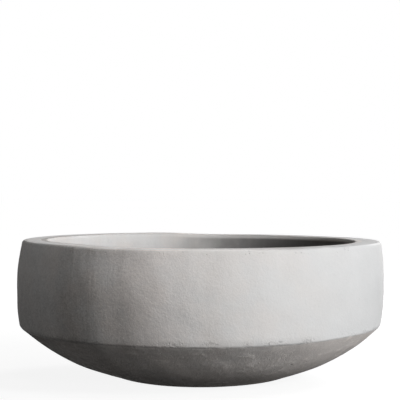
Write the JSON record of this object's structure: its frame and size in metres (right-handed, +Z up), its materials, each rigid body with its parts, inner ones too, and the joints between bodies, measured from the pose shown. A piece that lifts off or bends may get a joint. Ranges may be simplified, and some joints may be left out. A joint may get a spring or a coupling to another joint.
{
  "type": "bowl planter",
  "caption": "Low round cast-concrete bowl planter with a bulging wall, thick flat rim, shallow domed underside, steel cage cast inside and a drain with a lift-out rubber plug.",
  "frame": {"origin": "centre of the foot's face, on the surface that the bowl stands on", "axes": "+Z up along the bowl's axis; +X and +Y are level, with the radial bars midway between and beside them"},
  "size_m": [0.9138, 0.9138, 0.344],
  "materials": {
    "concrete": "matt grey cast concrete with a cement skin, fine pits and rough arrises",
    "pvc": "grey drain pipe, sawn ends",
    "plug_rubber": "black moulded rubber, matt with a dusty bloom",
    "bar_steel": "hot-rolled bar with mill scale and light rust",
    "tie_steel": "black annealed tie wire"
  },
  "bodies": {
    "bowl": {"bowl_casting": "concrete", "drain_sleeve": "pvc", "foot_hoop": "bar_steel", "shoulder_hoop": "bar_steel", "belly_hoop": "bar_steel", "rim_hoop": "bar_steel", "radial_bar_1": "bar_steel", "radial_bar_2": "bar_steel", "radial_bar_3": "bar_steel", "radial_bar_4": "bar_steel", "radial_bar_5": "bar_steel", "radial_bar_6": "bar_steel", "radial_bar_7": "bar_steel", "radial_bar_8": "bar_steel", "tie_wires": "tie_steel"},
    "plug": {"drain_plug": "plug_rubber"}
  },
  "joints": [
    {"name": "plug_pull", "type": "slide", "parent": "bowl", "child": "plug", "axis": [0, 0, 1], "range_m": [0, 0.35]}
  ]
}
